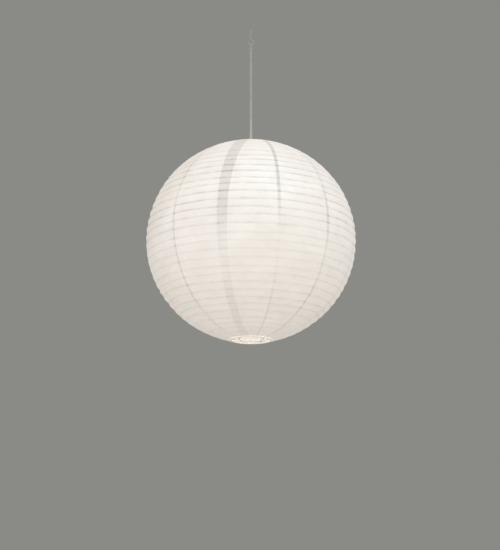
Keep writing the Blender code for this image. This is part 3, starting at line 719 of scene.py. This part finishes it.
def hem_profile():
    """The folded strip in section, from its outer leg round the ring wire to its inner leg: (radius, drop
    under the ring's middle). The outer leg stands off flat, because the gores flatten against it when the
    shade folds. The inner leg lies along the gores' cut ends."""
    slope = GLOBE_HALF_HEIGHT * MOUTH_RADIUS / GLOBE_RADIUS**2 / sin(MOUTH_LATITUDE)
    edge_drop = GLOBE_HALF_HEIGHT * sin(MOUTH_LATITUDE) - (TOP_RING_Z - BOTTOM_RING_Z) / 2
    outer = [(MOUTH_RADIUS + HEM_LEG * k / 3, HEM_CLEAR) for k in (3, 2, 1, 0)]
    turn = [radians(angle) for angle in HEM_TURN]
    round_wire = [(RING_RADIUS + HEM_BEND * cos(a), -HEM_BEND * sin(a)) for a in turn]
    inner_leg = HEM_LEG * HEM_INNER_SHARE
    inner_drop = edge_drop - HEM_INNER_CLEAR
    inner = [(MOUTH_RADIUS + inner_leg * k / 2, inner_drop - slope * inner_leg * k / 2) for k in (0, 1, 2)]
    return outer + round_wire + inner


def ring_flat(angle):
    """How far inside a true circle the ring's wire runs there, between two of its corners."""
    side = 2 * pi / RING_SIDES
    return RING_RADIUS * (1 - cos(side / 2) / cos(angle % side - side / 2))


def hem_mesh(name, ring_z, down):
    """A strip of paper folded round a mouth ring and gathered a little, as a strip has to be on a circle."""
    profile = hem_profile()
    form = bmesh.new()
    rounds = []
    for i in range(HEM_STEPS):
        angle = 2 * pi * i / HEM_STEPS
        around = Vector((cos(angle), sin(angle), 0))
        pleat = sin(HEM_PUCKERS * angle + 6.4 * noise.noise(around * 2.3))
        column = []
        for k, (radius, drop) in enumerate(profile):
            at_edge = abs(k / (len(profile) - 1) - 0.5) * 2
            waves = noise.noise(around * 16 + Vector((0, 0, k * 0.4)))
            puff = (HEM_PUFF * pleat + HEM_WAVES * waves) * at_edge
            ragged = HEM_RAGGED * noise.noise(around * 22 + Vector((0, 0, 7))) * at_edge**4
            towards_axis = max(0.0, (RING_RADIUS - radius) / HEM_BEND) ** 3
            gathers = HEM_GATHERS * (1 + pleat) * towards_axis
            place = around * (radius - ring_flat(angle) + ragged - gathers)
            column.append(form.verts.new(place + Vector((0, 0, ring_z - down * (drop + puff)))))
        rounds.append(column)
    for i, here in enumerate(rounds):
        after = rounds[(i + 1) % HEM_STEPS]
        for k in range(len(profile) - 1):
            corners = (here[k], here[k + 1], after[k + 1], after[k])
            form.faces.new(corners if down > 0 else corners[::-1])
    mesh = bpy.data.meshes.new(name)
    form.to_mesh(mesh)
    form.free()
    return mesh


def make_hems(outside, inside):
    for name, ring_z, down, body, ring in (
        ("mouth_hem_top", TOP_RING_Z, -1, "shade", "top_ring"),
        ("mouth_hem_bottom", BOTTOM_RING_Z, 1, "lower_ring", "bottom_ring"),
    ):
        piece = link(name, hem_mesh(name, ring_z, down), outside, body)
        thicken(piece, inside)


def tube_mesh(name, path, radius, sides):
    form = bmesh.new()
    rings = []
    for i, point in enumerate(path):
        along = (path[min(i + 1, len(path) - 1)] - path[max(i - 1, 0)]).normalized()
        side = along.cross(Vector((0, 0, 1))).normalized()
        over = side.cross(along)
        angles = [2 * pi * k / sides for k in range(sides)]
        rings.append([form.verts.new(point + radius * (cos(a) * side + sin(a) * over)) for a in angles])
    for here, after in zip(rings, rings[1:]):
        for k in range(sides):
            m = (k + 1) % sides
            form.faces.new((here[k], here[m], after[m], after[k]))
    form.faces.new(rings[0])
    form.faces.new(rings[-1])
    bmesh.ops.recalc_face_normals(form, faces=form.faces)
    mesh = bpy.data.meshes.new(name)
    form.to_mesh(mesh)
    form.free()
    return mesh


def make_rib_wire(material):
    """The wire helix, with the same uneven turns as the paper's ridges."""
    path = []
    steps = RIB_TURNS * RIB_STEPS
    for i in range(steps + 1):
        turned_by = RIB_TURNS * i / steps
        azimuth = 2 * pi * turned_by - pi / 2
        latitude = latitude_at(turned_by, azimuth)
        inside = stray(latitude, azimuth) + PAPER / 2 + RIB_GAP + RIB_WIRE
        path.append(on_globe(latitude, azimuth, inside))
    mesh = tube_mesh("rib_helix", path, RIB_WIRE, RIB_SIDES)
    piece = link("rib_helix", mesh, material, "shade")
    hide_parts("rib_wire")
    fold_with_ring(piece)


def make_cord(material):
    low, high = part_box("cord")
    top_z = high[2]
    end_z = low[2]
    curve = bpy.data.curves.new("flex", "CURVE")
    curve.dimensions = "3D"
    curve.bevel_depth = CORD_DIAMETER / 2
    curve.bevel_resolution = 6
    curve.use_fill_caps = True
    spline = curve.splines.new("POLY")
    spline.points.add(CORD_POINTS - 1)
    for i, point in enumerate(spline.points):
        point.co = (0, 0, end_z + (top_z - end_z) * i / (CORD_POINTS - 1), 1)
    piece = bpy.data.objects.new("flex", curve)
    SCENE.collection.objects.link(piece)
    curve.materials.append(material)
    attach(piece, "pendant")
    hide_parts("cord")


# ---- light and floor -----------------------------------------------------------------------------
LAMP_COLOUR = (1.0, 0.98, 0.95)
ROOM_COLOUR = rgba(0.255, 0.255, 0.240)
FLOOR_DROP = 2.3  # under the globe's centre
FLOOR_REACH = 30


def area_light(name, location, size, power):
    """A soft round light that faces the globe."""
    data = bpy.data.lights.new(name, "AREA")
    data.shape = "DISK"
    data.size = size
    data.energy = power
    data.color = LAMP_COLOUR
    lamp = bpy.data.objects.new(name, data)
    SCENE.collection.objects.link(lamp)
    lamp.location = location
    lamp.rotation_euler = (CENTRE - Vector(location)).to_track_quat("-Z", "Y").to_euler()


def make_lights():
    world = bpy.data.worlds.new("studio")
    world.use_nodes = True
    background = world.node_tree.nodes["Background"]
    background.inputs["Color"].default_value = ROOM_COLOUR
    background.inputs["Strength"].default_value = 1.0
    SCENE.world = world
    area_light("key", (-0.1, -3.4, -0.6), size=2.0, power=18)
    area_light("back", (-1.2, 3.2, 0.8), size=2.4, power=12)


def make_floor():
    """A plain pale floor, well under the object, with a soft mottle."""
    mesh = bpy.data.meshes.new("floor")
    z = CENTRE_Z - FLOOR_DROP
    corners = [(FLOOR_REACH * x, FLOOR_REACH * y, z) for x, y in ((-1, -1), (1, -1), (1, 1), (-1, 1))]
    mesh.from_pydata(corners, [], [(0, 1, 2, 3)])
    floor_piece = bpy.data.objects.new("floor", mesh)
    SCENE.collection.objects.link(floor_piece)
    n = Nodes("floor_matt")
    mottle = n.noise(n.place(), 3, 4)
    n.set("Base Color", n.mix(mottle, rgba(0.86, 0.85, 0.82), rgba(0.90, 0.89, 0.86)))
    n.set("Roughness", 0.9)
    mesh.materials.append(n.material)


# ---- build ---------------------------------------------------------------------------------------
make_camera()
make_cord(flex_material())
make_lights()
make_floor()

PAPER_OUTSIDE = paper_material("rice_paper_lit")
# The inner face glows too: painted light for the lamp's light thrown about inside the shade.
PAPER_INSIDE = paper_material("rice_paper_inner_face", 0.75, INNER_PALE, INNER_FAIR)
HEM_PAPER = paper_material("hem_paper_lit", 0.92)
make_rib_wire(wire_material("rib_wire_steel", (0.86, 0.84, 0.80), 0.3, 0.15))
make_paper(PAPER_OUTSIDE, PAPER_INSIDE)
make_hems(HEM_PAPER, HEM_PAPER)

RINGS = ("top_ring", "bottom_ring")
EXPANDER = ("expander_hub", "expander_leg_left", "expander_leg_right")
HOLDER_SCREWS = ("holder_screw_left", "holder_screw_right")
HOLDER = ("holder_body", "holder_cap", "holder_collar", "holder_insert", "holder_cord_grip")
HOLDER_CONTACTS = ("holder_contact", "holder_screw_shell")
for material, nodes in (
    (wire_material("zinc_wire", (0.66, 0.66, 0.67), 0.3), RINGS + EXPANDER + HOLDER_SCREWS),
    (plastic_material("holder_moulding", (0.83, 0.82, 0.80), 0.42), HOLDER),
    (metal_material("pressed_brass", (0.72, 0.55, 0.27), 0.32), HOLDER_CONTACTS),
    (metal_material("nickel_plate", (0.72, 0.71, 0.68), 0.26), ("bulb_cap", "bulb_tip")),
    (plastic_material("black_insulation", (0.05, 0.05, 0.05), 0.35), ("bulb_insulator",)),
    (plastic_material("solder_mask", (0.85, 0.85, 0.82), 0.45), ("bulb_led_board",)),
    (plastic_material("bulb_moulding", (0.88, 0.88, 0.86), 0.30, 0.12), ("bulb_housing",)),
    (opal_material(), ("bulb_globe",)),
    (plastic_material("hanger_moulding", (0.86, 0.85, 0.83), 0.32, 0.15), ("cord_hanger",)),
    (plastic_material("hook_coating", (0.83, 0.82, 0.80), 0.28, 0.2), ("ceiling_hook",)),
):
    for node in nodes:
        give(node, material)
